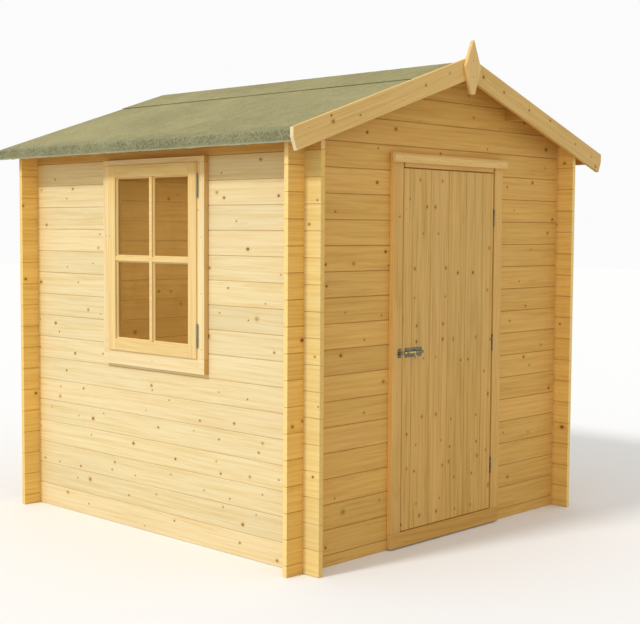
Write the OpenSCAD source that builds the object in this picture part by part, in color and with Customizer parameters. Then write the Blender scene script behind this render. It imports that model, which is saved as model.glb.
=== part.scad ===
// Small log cabin: interlocking wall logs, a felted saddle roof, one boarded
// door that opens outwards and one four-pane window. All lengths are in mm.
// X runs to the right, the door faces -Y, the window wall faces -X and Z is up.

/* [Plan] */
// Width over the outer faces of the side walls
plan_width = 1957; // [1700:1:2600]
// Depth over the outer faces of the front and back walls
plan_depth = 2029; // [1700:1:2800]
// How far each log runs past the wall that it crosses
log_end = 97; // [60:1:105]

/* [Logs] */
// Height that one log covers
log_cover = 114; // [108:1:120]
// Thickness of a log
log_thickness = 24; // [19:1:34]
// Height of the starter log under the front and back walls
starter_height = 51; // [40:1:70]
// Logs in each side wall below its top log
wall_courses = 16; // [16:1:18]
// Height of the side walls' top log at its outer face
top_log_height = 111; // [100:1:125]
// Bevel on the long edges of a log
log_bevel = 3; // [1:0.5:5]
// Free height between two stacked logs, and at their necks
log_gap = 0.3; // [0.2:0.1:0.5]

/* [Roof] */
// Slope of the roof in degrees
roof_pitch = 18.8; // [15:0.1:24]
// Thickness of the roof boards
roof_board_thickness = 15; // [12:1:22]
// Width that one roof board covers
roof_board_cover = 96; // [80:1:140]
// Reach of the roof boards in front of the front wall
front_reach = 111; // [105:1:160]
// Reach of the roof boards behind the back wall
back_reach = 100; // [80:1:160]
// Reach of the felt past the side walls
eave_reach = 155; // [130:1:185]
// Thickness of one layer of felt
felt_thickness = 2.5; // [2:0.5:4]
// Height of the felt folded down at the eaves and the back verge
felt_fold = 53; // [40:1:70]
// Length of the ridge strip of felt down each slope
ridge_strip_reach = 340; // [250:5:450]
// Width of a purlin
purlin_width = 44; // [34:1:60]
// Depth of the ridge purlin below the roof boards
ridge_purlin_depth = 92; // [70:1:110]
// Depth of a side purlin below the roof boards
side_purlin_depth = 56; // [40:1:70]
// Distance of a side purlin from the ridge line
side_purlin_offset = 492; // [400:5:600]
// Width of the batten under the eaves
eaves_batten_width = 18; // [12:1:30]

/* [Barge boards] */
// Thickness of a barge board
barge_thickness = 20; // [15:1:28]
// Plumb depth of a barge board
barge_depth = 103; // [90:1:140]
// Height of a barge board above the felt
barge_upstand = 14; // [5:1:25]
// Reach of the barge boards past the side walls
barge_reach = 199; // [190:1:240]
// Width of the clipped corner at a barge board's foot
barge_clip_width = 22; // [5:1:40]
// Height of the clipped corner at a barge board's foot
barge_clip_height = 64; // [30:1:80]
// Width of the diamond finial
finial_width = 118; // [90:1:150]
// Height of the diamond finial
finial_height = 252; // [200:1:320]
// Height of the finial's tip above the barge boards
finial_rise = 76; // [50:1:110]
// Width of the finial's blunt foot
finial_foot = 28; // [15:1:40]
// Width of the finial's blunt tip
finial_tip = 6; // [4:1:15]
// Thickness of the finial
finial_thickness = 18; // [12:1:25]

/* [Frames] */
// How far the door and window frames stand out from the logs
frame_proud = 26; // [20:1:34]
// How far a frame stands into the room
frame_inner = 10; // [6:1:20]
// Cover of a frame's face over the cut log ends
frame_lap = 20; // [14:1:28]
// Width of the stop behind the door and the sash
stop_width = 12; // [8:1:16]
// Fitting gap between wooden pieces
fit = 0.3; // [0.2:0.1:0.5]

/* [Door] */
// Width of the door leaf
leaf_width = 694; // [600:1:760]
// Thickness of the door boards
leaf_thickness = 19; // [15:1:28]
// Width of the cut board at the latch side of the leaf
first_board_width = 62; // [40:1:80]
// Width that one full door board covers
door_board_cover = 136; // [100:1:150]
// Least width of the cut board at the hinge side of the leaf
last_board_least = 30; // [20:1:50]
// Bevel on the front edges of a door board
door_board_bevel = 3; // [1:0.5:5]
// Width of a door frame member's face
jamb_face = 66; // [55:1:80]
// Height of the sill above the ground
sill_top = 78; // [70:1:90]
// Height of the sill's foot above the ground
sill_foot = 6; // [3:1:15]
// Running gap at the latch side, top and bottom of the leaf
leaf_gap = 6; // [5:0.5:8]
// Running gap at the hinge side of the leaf
hinge_gap = 10; // [10:0.5:12]
// Running gap between the leaf and its stop
stop_gap = 5; // [5:0.5:8]
// Height of the frame head's face over the leaf
head_face = 64; // [50:1:80]
// Height of the infill log over the door frame
infill_height = 33; // [20:1:80]
// Height of the drip rail over the door
drip_height = 44; // [35:1:50]
// How far the drip rail stands out from the frame
drip_proud = 19; // [12:1:30]
// Width of the bevel along the drip rail's top
drip_bevel = 12; // [6:1:16]
// Overhang of the drip rail past each side of the frame
drip_overhang = 14; // [0:1:30]
// Width of a ledge on the back of the door
ledge_width = 90; // [70:1:120]
// Distance of the ledges from the leaf's top and foot
ledge_end_gap = 160; // [80:5:300]
// Thickness of a ledge and of the brace
ledge_thickness = 19; // [15:1:25]
// Inset of the ledges from the leaf's edges
ledge_inset = 24; // [20:1:40]

/* [Door fittings] */
// Number of butt hinges
hinge_count = 3; // [2:1:4]
// Height of a butt hinge
hinge_height = 80; // [60:1:100]
// Distance of the outer hinges from the leaf's top and foot
hinge_inset = 180; // [120:5:300]
// Radius of a hinge knuckle
knuckle_radius = 4; // [3.5:0.1:4.3]
// Clearance of a hinge plate round the other part's knuckles
knuckle_clearance = 0.5; // [0.4:0.1:0.7]
// Thickness of a hinge plate
hinge_plate = 2; // [1.5:0.1:2.2]
// Radius of the hinge pin
hinge_pin_radius = 2; // [1.5:0.1:2.5]
// Running clearance of a pin or a rod in its hole
running_fit = 0.06; // [0.03:0.01:0.1]
// Height of the bolt above the ground
bolt_height = 920; // [800:1:1100]
// Radius of the bolt's rod
bolt_radius = 5; // [4:0.5:6]
// Free space between the rod and its back plate
bolt_standoff = 2; // [1:0.5:4]
// Length of the bolt's back plate
bolt_plate_length = 122; // [110:1:160]
// Height of the bolt's back plate and of the keep
bolt_plate_height = 44; // [30:1:50]
// Thickness of the back plates
bolt_plate_thickness = 1.5; // [1:0.1:3]
// Distance of the bolt's plate from the leaf's edge
bolt_setback = 14; // [10:1:25]
// Travel of the bolt
bolt_travel = 30; // [26:1:38]
// Reach of the withdrawn rod past its plate, towards the jamb
rod_lead = 10; // [6:1:10]
// Width of the keep on the jamb
keep_width = 25; // [20:1:30]
// Distance of the keep from the jamb's inner edge
keep_setback = 6; // [2:1:10]
// Width of the bolt's first guide, at the latch side of its plate
guide_width = 14; // [10:1:18]
// Thickness of the metal round the bolt's rod
guide_wall = 3; // [2:0.5:5]
// Distance of a guide or a loop from the end of its plate
guide_setback = 2; // [1:0.5:4]
// Clearance of the rod in the keep
keep_fit = 1; // [0.5:0.1:1.5]
// Radius of the knob's stem
knob_stem_radius = 3; // [2:0.5:4]
// Radius of the knob
knob_radius = 6; // [5:0.5:8]
// Length of the knob
knob_length = 22; // [14:1:30]
// Free space between the knob and a guide at each end of the travel
knob_gap = 6; // [5:0.5:8]
// Angle that the knob is turned down from straight out
knob_turn = 60; // [0:1:65]

/* [Window] */
// Width over the window frame
window_width = 768; // [650:1:850]
// Distance of the window's middle in front of the side wall's middle
window_forward = 14; // [-60:1:60]
// Height of the window frame's foot above the ground
window_foot = 815; // [805:1:850]
// Width of the window frame's face at the sides
window_side_face = 49; // [40:1:60]
// Height of the window frame's face below the sash
window_sill_face = 71; // [50:1:80]
// Height of the window frame's face above the sash
window_head_face = 28; // [24:1:45]
// How far the sash stands out from the window frame
sash_proud = 9; // [0:1:15]
// Thickness of the sash
sash_thickness = 40; // [30:1:45]
// Width of the sash's members
sash_face = 57; // [45:1:70]
// Width of a glazing bar
bar_width = 22; // [16:1:30]
// Setback of a glazing bar from the sash's face
bar_setback = 1; // [0:0.5:4]
// Depth of a glazing bar
bar_depth = 26; // [20:1:30]
// Setback of the glass from the sash's face
glass_setback = 18; // [12:1:22]
// Thickness of the glass
glass_thickness = 3; // [2:0.5:6]
// Height of a window hinge
window_hinge_height = 110; // [80:1:130]
// Radius of a window hinge's knuckle
window_hinge_radius = 4.5; // [3:0.5:5]
// Distance of the window hinges from the sash's top and foot
window_hinge_inset = 52; // [30:1:120]

/* [Floor] */
// Height and width of a floor bearer
bearer_size = 44; // [34:1:60]
// Number of floor bearers
bearer_count = 5; // [3:2:7]
// Thickness of the floor boards
floor_thickness = 15; // [12:1:22]
// Width that one floor board covers
floor_board_cover = 112; // [90:1:140]

/* [Hidden] */

half_width = plan_width / 2;
half_depth = plan_depth / 2;
wall_top = wall_courses * log_cover;
slope = tan(roof_pitch);
plumb = 1 / cos(roof_pitch);
ridge_underside = wall_top + top_log_height + half_width * slope;
far = 2 * (plan_width + plan_depth);
// Overrun of a cut past what it cuts
over = 1;

// Height of the roof boards' underside at a distance from the ridge line
function underside(x) = ridge_underside - abs(x) * slope;

// Plumb heights of the roof's layers above the boards' underside
felt_lift = (roof_board_thickness + fit) * plumb;
strip_lift = felt_lift + (felt_thickness + fit) * plumb;
roof_lift = strip_lift + felt_thickness * plumb;
roof_front = -half_depth - front_reach;
roof_back = half_depth + back_reach;
eave_edge = half_width + eave_reach;

// Door: the leaf's edges, the frame's inner faces and its outer faces
frame_front = -half_depth - frame_proud;
frame_back = -half_depth + log_thickness + frame_inner;
frame_inside = (leaf_width + leaf_gap + hinge_gap) / 2;
frame_outside = frame_inside + jamb_face;
leaf_left = -frame_inside + leaf_gap;
leaf_right = leaf_left + leaf_width;
front_top = starter_height + wall_courses * log_cover;
head_top = front_top - infill_height;
head_foot = head_top - head_face;
leaf_foot = sill_top + leaf_gap;
leaf_top = head_foot - leaf_gap;
leaf_height = leaf_top - leaf_foot;
leaf_back = frame_front + leaf_thickness;
stop_front = leaf_back + stop_gap;
hinge_x = leaf_right + hinge_gap / 2;
bolt_y = frame_front - fit - bolt_plate_thickness - bolt_radius - bolt_standoff;

// Window: the frame's and the sash's edges
window_y = -window_forward;
window_front_x = -half_width - frame_proud;
window_back_x = -half_width + log_thickness + frame_inner;
sash_front_x = window_front_x - sash_proud;
sash_back_x = sash_front_x + sash_thickness;
sash_half = window_width / 2 - window_side_face - fit;
sash_foot = window_foot + window_sill_face + fit;
sash_top = wall_top - fit - window_head_face - fit;
glass_x = sash_front_x + glass_setback;
bar_x = sash_front_x + bar_setback;

// A bar with an outline in the XZ plane, from y0 to y1
module along_y(outline, y0, y1) {
  translate([0, y1, 0]) rotate([90, 0, 0]) linear_extrude(y1 - y0) polygon(outline);
}

// A bar with an outline in the YZ plane, from x0 to x1
module along_x(outline, x0, x1) {
  translate([x0, 0, 0]) rotate([90, 0, 90]) linear_extrude(x1 - x0) polygon(outline);
}

// A box between two corners
module block(low, high) {
  translate(low) cube(high - low);
}

// Outline of a log, with its outer and inner edges bevelled
function log_outline(low, high) = [
  [0, low + log_bevel], [log_bevel, low], [log_thickness - log_bevel, low],
  [log_thickness, low + log_bevel], [log_thickness, high - log_bevel],
  [log_thickness - log_bevel, high], [log_bevel, high], [0, high - log_bevel]
];

// A log along X whose outer face is y = 0. It has a neck at each crossing wall,
// whose middle is at +-crossing, and the neck runs from neck_low to neck_high.
module wall_log(from, to, low, high, neck_low, neck_high, crossing) {
  notch = log_thickness / 2 + log_gap;
  difference() {
    along_x(log_outline(low, high - log_gap), from, to);
    for (side = [-1, 1]) {
      block([side * crossing - notch, -over, low - over],
            [side * crossing + notch, log_thickness + over, neck_low + log_gap / 2]);
      block([side * crossing - notch, -over, neck_high - log_gap / 2],
            [side * crossing + notch, log_thickness + over, high + over]);
    }
  }
}

// One full log of a side wall, along X before it is placed
module side_log(course, from, to) {
  low = course * log_cover;
  wall_log(from, to, low, low + log_cover, low + starter_height / 2,
           low + (log_cover + starter_height) / 2, half_depth - log_thickness / 2);
}

// One full log of the front or back wall
module end_log(course, from, to) {
  low = starter_height + course * log_cover;
  wall_log(from, to, low, low + log_cover,
           course * log_cover + (log_cover + starter_height) / 2,
           (course + 1) * log_cover + starter_height / 2, half_width - log_thickness / 2);
}

module starter_log() {
  wall_log(-half_width - log_end, half_width + log_end, 0, starter_height, -log_gap,
           starter_height / 2, half_width - log_thickness / 2);
}

// Puts a side wall's logs on the left side, with what was X now along Y
module on_left_wall() {
  translate([-half_width + log_thickness, 0, 0]) rotate([0, 0, 90]) children();
}

module on_right_wall() {
  mirror([1, 0, 0]) on_left_wall() children();
}

module on_front_wall() {
  translate([0, -half_depth, 0]) children();
}

module on_back_wall() {
  mirror([0, 1, 0]) on_front_wall() children();
}

// Everything above the underside of the roof boards
module above_roof() {
  along_y([[-far, underside(far) - fit], [0, ridge_underside - fit], [far, underside(far) - fit],
           [far, ridge_underside + far], [-far, ridge_underside + far]], -far, far);
}

// Hole that a purlin leaves in a gable
module purlin_holes() {
  grow = purlin_width / 2 + fit;
  block([-grow, -far, ridge_underside - ridge_purlin_depth - fit], [grow, far, ridge_underside + far]);
  for (side = [-1, 1])
    block([side * side_purlin_offset - grow, -far,
           underside(side_purlin_offset) - side_purlin_depth - fit],
          [side * side_purlin_offset + grow, far, ridge_underside + far]);
}

// Top log of a side wall, before it is cut to the roof's slope
module side_top_log() {
  wall_log(-half_depth - log_end, half_depth + log_end, wall_top, wall_top + 2 * log_cover,
           wall_top + starter_height / 2, wall_top + (log_cover + starter_height) / 2,
           half_depth - log_thickness / 2);
}

// Gable above the front or back wall's full logs
module gable_logs() {
  courses = ceil((ridge_underside - front_top) / log_cover);
  for (i = [0 : courses - 1]) {
    low = front_top + i * log_cover;
    reach = min(half_width + log_end, (ridge_underside - low) / slope);
    wall_log(-reach, reach, low, low + log_cover,
             i == 0 ? wall_top + (log_cover + starter_height) / 2 : low - log_gap,
             low + log_cover + log_gap, half_width - log_thickness / 2);
  }
}

module left_wall_lower_logs() {
  last = floor((window_foot + frame_lap) / log_cover);
  reach = half_depth + log_end;
  color("#f3dca6") difference() {
    on_left_wall() for (i = [0 : last]) side_log(i, -reach, reach);
    window_opening();
  }
}

// What the window frame needs cut out of the left wall
module window_opening() {
  half = window_width / 2 - frame_lap;
  block([-half_width - over, window_y - half, window_foot + frame_lap],
        [-half_width + log_thickness + over, window_y + half, wall_top + over]);
}

module window_side_logs(from, to) {
  first = floor((window_foot + frame_lap) / log_cover) + 1;
  color("#f3dca6") on_left_wall() for (i = [first : wall_courses - 1]) side_log(i, from, to);
}

module left_wall_front_logs() {
  window_side_logs(-half_depth - log_end, window_y - window_width / 2 + frame_lap);
}

module left_wall_back_logs() {
  window_side_logs(window_y + window_width / 2 - frame_lap, half_depth + log_end);
}

module left_wall_top_log() {
  color("#d9b679") difference() {
    on_left_wall() side_top_log();
    above_roof();
  }
}

module right_wall_logs() {
  reach = half_depth + log_end;
  color("#d9b679") {
    on_right_wall() for (i = [0 : wall_courses - 1]) side_log(i, -reach, reach);
    difference() {
      on_right_wall() side_top_log();
      above_roof();
    }
  }
}

module back_wall_logs() {
  reach = half_width + log_end;
  color("#d9b679") on_back_wall() {
    starter_log();
    for (i = [0 : wall_courses - 1]) end_log(i, -reach, reach);
  }
}

module back_gable_logs() {
  color("#d9b679") difference() {
    on_back_wall() gable_logs();
    above_roof();
    purlin_holes();
  }
}

module front_starter_log() {
  color("#c59a5c") on_front_wall() starter_log();
}

// What the door frame and the infill log need cut out of the front wall
module door_opening() {
  half = frame_outside - frame_lap;
  block([-half, -half_depth - over, starter_height - over],
        [half, -half_depth + log_thickness + over, head_top + fit]);
  block([-frame_outside, -half_depth - over, head_top],
        [frame_outside, -half_depth + log_thickness + over, front_top]);
}

module front_wall_left_logs() {
  color("#c59a5c") difference() {
    on_front_wall() for (i = [0 : wall_courses - 1]) end_log(i, -half_width - log_end, 0);
    door_opening();
  }
}

module front_wall_right_logs() {
  color("#c59a5c") difference() {
    on_front_wall() for (i = [0 : wall_courses - 1]) end_log(i, 0, half_width + log_end);
    door_opening();
  }
}

module door_infill_log() {
  color("#c59a5c") on_front_wall()
    along_x(log_outline(head_top + fit, front_top - log_gap),
            -frame_outside + fit, frame_outside - fit);
}

module front_gable_logs() {
  color("#c59a5c") difference() {
    on_front_wall() gable_logs();
    above_roof();
    purlin_holes();
  }
}

// Purlins carry the roof boards from verge to verge
module ridge_purlin() {
  color("#c59a5c") difference() {
    block([-purlin_width / 2, roof_front, ridge_underside - ridge_purlin_depth],
          [purlin_width / 2, roof_back, ridge_underside]);
    above_roof();
  }
}

module side_purlin(side) {
  color("#c59a5c") difference() {
    block([side * side_purlin_offset - purlin_width / 2, roof_front,
           underside(side_purlin_offset) - side_purlin_depth],
          [side * side_purlin_offset + purlin_width / 2, roof_back, ridge_underside]);
    above_roof();
  }
}

module side_purlins() {
  side_purlin(-1);
  side_purlin(1);
}

// A layer on the right slope between two distances from the ridge line
function slope_layer(from, to, lift, thickness) = [
  [from, underside(from) + lift], [to, underside(to) + lift],
  [to, underside(to) + lift + thickness * plumb], [from, underside(from) + lift + thickness * plumb]
];

module roof_boards() {
  count = round((roof_back - roof_front) / roof_board_cover);
  pitch = (roof_back - roof_front) / count;
  board = slope_layer(fit / 2, eave_edge - felt_thickness - fit, 0, roof_board_thickness);
  color("#c9a066") for (i = [0 : count - 1])
    along_y(board, roof_front + i * pitch, roof_front + (i + 1) * pitch - fit);
}

module roof_boards_left() {
  mirror([1, 0, 0]) roof_boards();
}

module roof_boards_right() {
  roof_boards();
}

// Batten under the boards' ends, behind the folded felt
module eaves_batten() {
  outer = eave_edge - felt_thickness - fit;
  inner = outer - eaves_batten_width;
  foot = underside(eave_edge) + felt_lift + felt_thickness * plumb - felt_fold + felt_thickness;
  color("#b98d52") along_y([[inner, foot], [outer, foot], [outer, underside(outer) - fit],
                            [inner, underside(inner) - fit]], roof_front, roof_back);
}

module eaves_battens() {
  eaves_batten();
  mirror([1, 0, 0]) eaves_batten();
}

// Felt over one slope, folded down at the eaves and over the back verge
module felt() {
  inner = eave_edge - felt_thickness;
  thick = felt_thickness * plumb;
  back = roof_back + fit + felt_thickness;
  top = underside(eave_edge) + felt_lift + thick;
  color("#9a9c6c") {
    along_y([[fit / 2, underside(0) + felt_lift], [inner, underside(inner) + felt_lift],
             [inner, top - felt_fold], [eave_edge, top - felt_fold], [eave_edge, top],
             [fit / 2, underside(0) + felt_lift + thick]], roof_front, back);
    along_y([[fit / 2, underside(0) + felt_lift + thick - felt_fold],
             [eave_edge, top - felt_fold], [eave_edge, top],
             [fit / 2, underside(0) + felt_lift + thick]], roof_back + fit, back);
  }
}

module felt_left() {
  mirror([1, 0, 0]) felt();
}

module felt_right() {
  felt();
}

// Strip of felt folded over the ridge
module felt_ridge_strip() {
  reach = ridge_strip_reach * cos(roof_pitch);
  thick = felt_thickness * plumb;
  foot = underside(reach) + strip_lift;
  color("#8f9265") along_y([[-reach, foot], [0, ridge_underside + strip_lift], [reach, foot],
                            [reach, foot + thick], [0, ridge_underside + strip_lift + thick],
                            [-reach, foot + thick]], roof_front, roof_back + fit + felt_thickness);
}

// Barge board with a plumb end and a clipped foot
module barge() {
  end = half_width + barge_reach;
  clip = end - barge_clip_width;
  top = roof_lift + barge_upstand;
  back = roof_front - fit;
  color("#e0bd82") along_y([
    [fit / 2, underside(0) + top - barge_depth], [clip, underside(clip) + top - barge_depth],
    [end, underside(end) + top - barge_depth + barge_clip_height], [end, underside(end) + top],
    [fit / 2, underside(0) + top]], back - barge_thickness, back);
}

module barge_left() {
  mirror([1, 0, 0]) barge();
}

module barge_right() {
  barge();
}

// Diamond board on the barge boards' joint
module finial() {
  tip = ridge_underside + roof_lift + barge_upstand + finial_rise;
  foot = tip - finial_height;
  middle = (tip + foot) / 2;
  back = roof_front - fit - barge_thickness - fit;
  color("#d8b478") along_y([
    [-finial_foot / 2, foot], [finial_foot / 2, foot], [finial_width / 2, middle],
    [finial_tip / 2, tip], [-finial_tip / 2, tip], [-finial_width / 2, middle]],
    back - finial_thickness, back);
}

// Outline across a frame's side member. Its first axis runs in from the member's
// outer edge and its second from the outer face into the room.
function frame_outline(face, stop_depth) = [
  [0, 0], [face, 0], [face, stop_depth], [face + stop_width, stop_depth],
  [face + stop_width, frame_proud + log_thickness + frame_inner],
  [frame_lap + fit, frame_proud + log_thickness + frame_inner],
  [frame_lap + fit, frame_proud - fit], [0, frame_proud - fit]
];

module window_stile() {
  stop_depth = sash_thickness - sash_proud + fit;
  translate([window_front_x, window_y - window_width / 2, sash_foot])
    linear_extrude(sash_top - sash_foot)
      polygon([for (p = frame_outline(window_side_face, stop_depth)) [p[1], p[0]]]);
}

module window_frame_stiles() {
  color("#f0d7a0") {
    window_stile();
    translate([0, 2 * window_y, 0]) mirror([0, 1, 0]) window_stile();
  }
}

// Sill of the window frame, hooked over the notched log
module window_frame_sill() {
  half = window_width / 2;
  top = window_foot + window_sill_face;
  cut = window_foot + frame_lap + fit;
  color("#f0d7a0") difference() {
    along_y([[window_front_x, window_foot], [-half_width - fit, window_foot], [-half_width - fit, cut],
             [window_back_x, cut], [window_back_x, top], [window_front_x, top]],
            window_y - half, window_y + half);
    for (side = [-1, 1])
      translate([0, window_y, 0]) block(
        [-half_width - fit, side > 0 ? half - frame_lap - fit : -half - over, cut - over],
        [window_back_x + over, side > 0 ? half + over : -half + frame_lap + fit, top + over]);
  }
}

module window_frame_head() {
  half = window_width / 2;
  top = wall_top - fit;
  foot = top - window_head_face;
  color("#e3c48a") difference() {
    along_y([[window_front_x, foot], [window_back_x, foot], [window_back_x, top],
             [window_front_x, top]], window_y - half, window_y + half);
    for (side = [-1, 1])
      translate([0, window_y, 0]) block(
        [-half_width - fit, side > 0 ? half - frame_lap - fit : -half - over, foot - over],
        [window_back_x + over, side > 0 ? half + over : -half + frame_lap + fit, top + over]);
  }
}

module sash_stiles() {
  color("#f0d7a0") for (side = [-1, 1])
    block([sash_front_x, window_y + side * (sash_half - sash_face / 2) - sash_face / 2, sash_foot],
          [sash_back_x, window_y + side * (sash_half - sash_face / 2) + sash_face / 2, sash_top - fit]);
}

module sash_rails() {
  half = sash_half - sash_face - fit;
  color("#f0d7a0") for (foot = [sash_foot, sash_top - fit - sash_face])
    block([sash_front_x, window_y - half, foot], [sash_back_x, window_y + half, foot + sash_face]);
}

// Clear opening of the sash, and its middle height
light_half = sash_half - sash_face;
light_foot = sash_foot + sash_face;
light_top = sash_top - fit - sash_face;
light_middle = (light_foot + light_top) / 2;

module window_bars() {
  color("#f0d7a0") {
    block([bar_x, window_y - bar_width / 2, light_foot + fit],
          [bar_x + bar_depth, window_y + bar_width / 2, light_top - fit]);
    for (side = [-1, 1]) {
      inner = side * (bar_width / 2 + fit);
      outer = side * (light_half - fit);
      block([bar_x, window_y + min(inner, outer), light_middle - bar_width / 2],
            [bar_x + bar_depth, window_y + max(inner, outer), light_middle + bar_width / 2]);
    }
  }
}

module window_glass() {
  color("#b9a27a", 0.4) for (side = [-1, 1]) {
    inner = side * (bar_width / 2 + fit);
    outer = side * (light_half - fit);
    block([glass_x, window_y + min(inner, outer), light_foot + fit],
          [glass_x + glass_thickness, window_y + max(inner, outer), light_middle - bar_width / 2 - fit]);
    block([glass_x, window_y + min(inner, outer), light_middle + bar_width / 2 + fit],
          [glass_x + glass_thickness, window_y + max(inner, outer), light_top - fit]);
  }
}

// Knuckles of the sash's two hinges, in the corner of its front edge and the frame
module window_hinges() {
  for (foot = [sash_foot + window_hinge_inset, sash_top - window_hinge_inset - window_hinge_height])
    color("#8f8672")
      translate([window_front_x - fit - window_hinge_radius,
                 window_y - sash_half - fit - window_hinge_radius, foot])
        cylinder(h = window_hinge_height, r = window_hinge_radius, $fn = 32);
}

module door_jamb_left() {
  color("#d2aa6b") translate([-frame_outside, frame_front, sill_top + fit])
    linear_extrude(head_top - sill_top - fit)
      polygon(frame_outline(jamb_face, stop_front - frame_front));
}

module door_jamb_right() {
  mirror([1, 0, 0]) door_jamb_left();
}

module door_head() {
  color("#d2aa6b") along_x([
    [frame_front, head_foot], [stop_front, head_foot], [stop_front, head_foot - stop_width],
    [frame_back, head_foot - stop_width], [frame_back, head_top], [frame_front, head_top]],
    -frame_inside + stop_width + fit, frame_inside - stop_width - fit);
}

// Sill, hooked over the starter log and down its face
module door_sill() {
  cut = starter_height + fit;
  color("#cfa565") difference() {
    along_x([[frame_front, sill_foot], [-half_depth - fit, sill_foot], [-half_depth - fit, cut],
             [frame_back, cut], [frame_back, sill_top], [frame_front, sill_top]],
            -frame_outside, frame_outside);
    for (side = [-1, 1])
      block([side > 0 ? frame_outside - frame_lap - fit : -frame_outside - over,
             -half_depth - fit, cut - over],
            [side > 0 ? frame_outside + over : -frame_outside + frame_lap + fit,
             frame_back + over, sill_top + over]);
  }
}

module door_drip_rail() {
  back = frame_front - fit;
  front = frame_front - drip_proud;
  top = head_top;
  foot = top - drip_height;
  color("#e6c58b") along_x([
    [back, foot], [front, foot], [front, top - drip_bevel], [front + drip_bevel, top], [back, top]],
    -frame_outside - drip_overhang, frame_outside + drip_overhang);
}

// One upright door board with bevelled front edges
module door_board(from, to) {
  bevel = door_board_bevel;
  translate([0, 0, leaf_foot]) linear_extrude(leaf_height) polygon([
    [from, frame_front + bevel], [from + bevel, frame_front], [to - bevel, frame_front],
    [to, frame_front + bevel], [to, leaf_back], [from, leaf_back]]);
}

module door_boards() {
  start = leaf_left + first_board_width;
  full_boards = floor((leaf_right - start - last_board_least) / door_board_cover);
  last = start + full_boards * door_board_cover;
  color("#d6ae6e") {
    door_board(leaf_left, start);
    for (i = [0 : full_boards - 1])
      door_board(start + i * door_board_cover + fit, start + (i + 1) * door_board_cover);
    door_board(last + fit, leaf_right);
  }
}

ledge_front = leaf_back + fit;
ledge_left = leaf_left + ledge_inset;
ledge_right = leaf_right - ledge_inset;
low_ledge = leaf_foot + ledge_end_gap;
high_ledge = leaf_top - ledge_end_gap - ledge_width;

// Two ledges, and a diagonal brace that rises away from the hinges
module door_ledges() {
  ledge_back = ledge_front + ledge_thickness;
  from = low_ledge + ledge_width + fit;
  to = high_ledge - fit;
  foot_x = ledge_right - ledge_width;
  head_x = ledge_left + ledge_width;
  color("#c79c5d") {
    for (foot = [low_ledge, high_ledge])
      block([ledge_left, ledge_front, foot], [ledge_right, ledge_back, foot + ledge_width]);
    along_y([[foot_x - ledge_width / 2, from], [foot_x + ledge_width / 2, from],
             [head_x + ledge_width / 2, to], [head_x - ledge_width / 2, to]], ledge_front, ledge_back);
  }
}

// Foot of each butt hinge
function hinge_foot(i) =
  leaf_foot + hinge_inset + i * (leaf_height - 2 * hinge_inset - hinge_height) / (hinge_count - 1);

// The leaf's knuckle is the middle third of a hinge
knuckle_low = hinge_height / 3;
knuckle_high = 2 * hinge_height / 3;
knuckle_gap = fit;
plate_depth = leaf_thickness - hinge_plate;

// Frame's part of a hinge: two knuckles, the pin and the plate on the jamb
module frame_hinge() {
  difference() {
    union() {
      cylinder(h = knuckle_low - knuckle_gap, r = knuckle_radius, $fn = 48);
      translate([0, 0, knuckle_high + knuckle_gap])
        cylinder(h = hinge_height - knuckle_high - knuckle_gap, r = knuckle_radius, $fn = 48);
      block([hinge_gap / 2 - fit - hinge_plate, 0, 0], [hinge_gap / 2 - fit, plate_depth, hinge_height]);
    }
    translate([0, 0, knuckle_low - knuckle_gap])
      cylinder(h = knuckle_high - knuckle_low + 2 * knuckle_gap,
               r = knuckle_radius + knuckle_clearance, $fn = 48);
  }
  cylinder(h = hinge_height, r = hinge_pin_radius, $fn = 48);
}

// Leaf's part of a hinge: the middle knuckle and the plate on the leaf's edge
module leaf_hinge() {
  difference() {
    union() {
      translate([0, 0, knuckle_low])
        cylinder(h = knuckle_high - knuckle_low, r = knuckle_radius, $fn = 48);
      difference() {
        block([-hinge_gap / 2 + fit, 0, 0],
              [-hinge_gap / 2 + fit + hinge_plate, plate_depth, hinge_height]);
        for (z = [-over, knuckle_high])
          translate([0, 0, z])
            cylinder(h = knuckle_low + over, r = knuckle_radius + knuckle_clearance, $fn = 48);
      }
    }
    translate([0, 0, -over])
      cylinder(h = hinge_height + 2 * over, r = hinge_pin_radius + running_fit, $fn = 48);
  }
}

module frame_hinges() {
  color("#b8b2a4") for (i = [0 : hinge_count - 1])
    translate([hinge_x, frame_front, hinge_foot(i)]) frame_hinge();
}

module leaf_hinges() {
  color("#b8b2a4") for (i = [0 : hinge_count - 1])
    translate([hinge_x, frame_front, hinge_foot(i)]) leaf_hinge();
}

// Bolt: a plate with two guides on the leaf, a rod with a knob, a keep on the jamb.
// The second guide is long enough to hold the rod over its whole travel.
bolt_plate_left = leaf_left + bolt_setback;
bolt_plate_right = bolt_plate_left + bolt_plate_length;
loop_reach = bolt_radius + guide_wall;
first_guide = bolt_plate_left + guide_setback;
knob_x = first_guide + guide_width + bolt_travel + knob_gap + knob_radius;
second_guide = knob_x + knob_radius + knob_gap;
rod_start = bolt_plate_left - rod_lead;
rod_end = bolt_plate_right - guide_setback;

// A guide with a hole for the rod along X, from x0 to x1
module bolt_loop(x0, x1, hole) {
  back = frame_front - fit - bolt_plate_thickness / 2;
  difference() {
    block([x0, bolt_y - loop_reach, bolt_height - loop_reach], [x1, back, bolt_height + loop_reach]);
    translate([x0 - over, bolt_y, bolt_height]) rotate([0, 90, 0])
      cylinder(h = x1 - x0 + 2 * over, r = hole, $fn = 48);
  }
}

// A back plate for a guide or the keep, from x0 to x1
module bolt_plate(x0, x1) {
  back = frame_front - fit;
  block([x0, back - bolt_plate_thickness, bolt_height - bolt_plate_height / 2],
        [x1, back, bolt_height + bolt_plate_height / 2]);
}

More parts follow.
